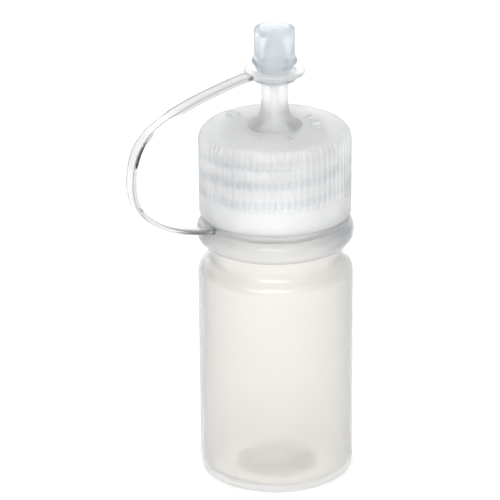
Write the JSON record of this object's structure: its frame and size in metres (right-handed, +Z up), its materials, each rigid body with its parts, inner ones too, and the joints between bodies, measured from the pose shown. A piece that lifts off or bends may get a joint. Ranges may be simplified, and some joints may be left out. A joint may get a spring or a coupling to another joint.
{
  "type": "dropper bottle",
  "caption": "Small translucent squeeze bottle with a ribbed screw closure, a slender drip spout and a little overcap held by a clear strap loop.",
  "frame": {"origin": "centre of the ring that the bottle stands on, on the bottle's axis", "axes": "+Z up along the bottle's axis; the strap loop reaches towards -X, in the XZ plane"},
  "size_m": [0.0403, 0.0252, 0.0755],
  "materials": {
    "milky_plastic": "milky, softly translucent, satin",
    "translucent_plastic": "translucent, satin, fine moulded ribs",
    "natural_plastic": "translucent, smooth",
    "bluish_plastic": "translucent, faintly blue, glossy",
    "clear_plastic": "clear, glossy"
  },
  "bodies": {
    "bottle": {"bottle_body": "milky_plastic"},
    "spout": {"dropper_spout": "natural_plastic"},
    "closure": {"closure_shell": "translucent_plastic"},
    "tether": {"tether_neck_ring": "clear_plastic", "tether_strap": "clear_plastic"},
    "overcap": {"overcap": "bluish_plastic", "tether_eyelet": "clear_plastic"}
  },
  "joints": [
    {"name": "closure_lift", "type": "slide", "parent": "bottle", "child": "spout", "axis": [0, 0, 1], "range_m": [0, 0.0127]},
    {"name": "closure_turn", "type": "hinge", "parent": "spout", "child": "closure", "pos_m": [0, 0, 0.0523], "axis": [0, 0, 1], "range_deg": [0, 1440]},
    {"name": "tether_swivel", "type": "hinge", "parent": "spout", "child": "tether", "pos_m": [0, 0, 0.04415], "axis": [0, 0, 1], "continuous": true},
    {"name": "overcap_pull", "type": "slide", "parent": "tether", "child": "overcap", "axis": [0, 0, 1], "range_m": [0, 0.012], "deforming": ["tether_strap"]}
  ],
  "couplings": [
    {"joint": "closure_turn", "follows": "closure_lift", "rad_per_m": 1979}
  ]
}
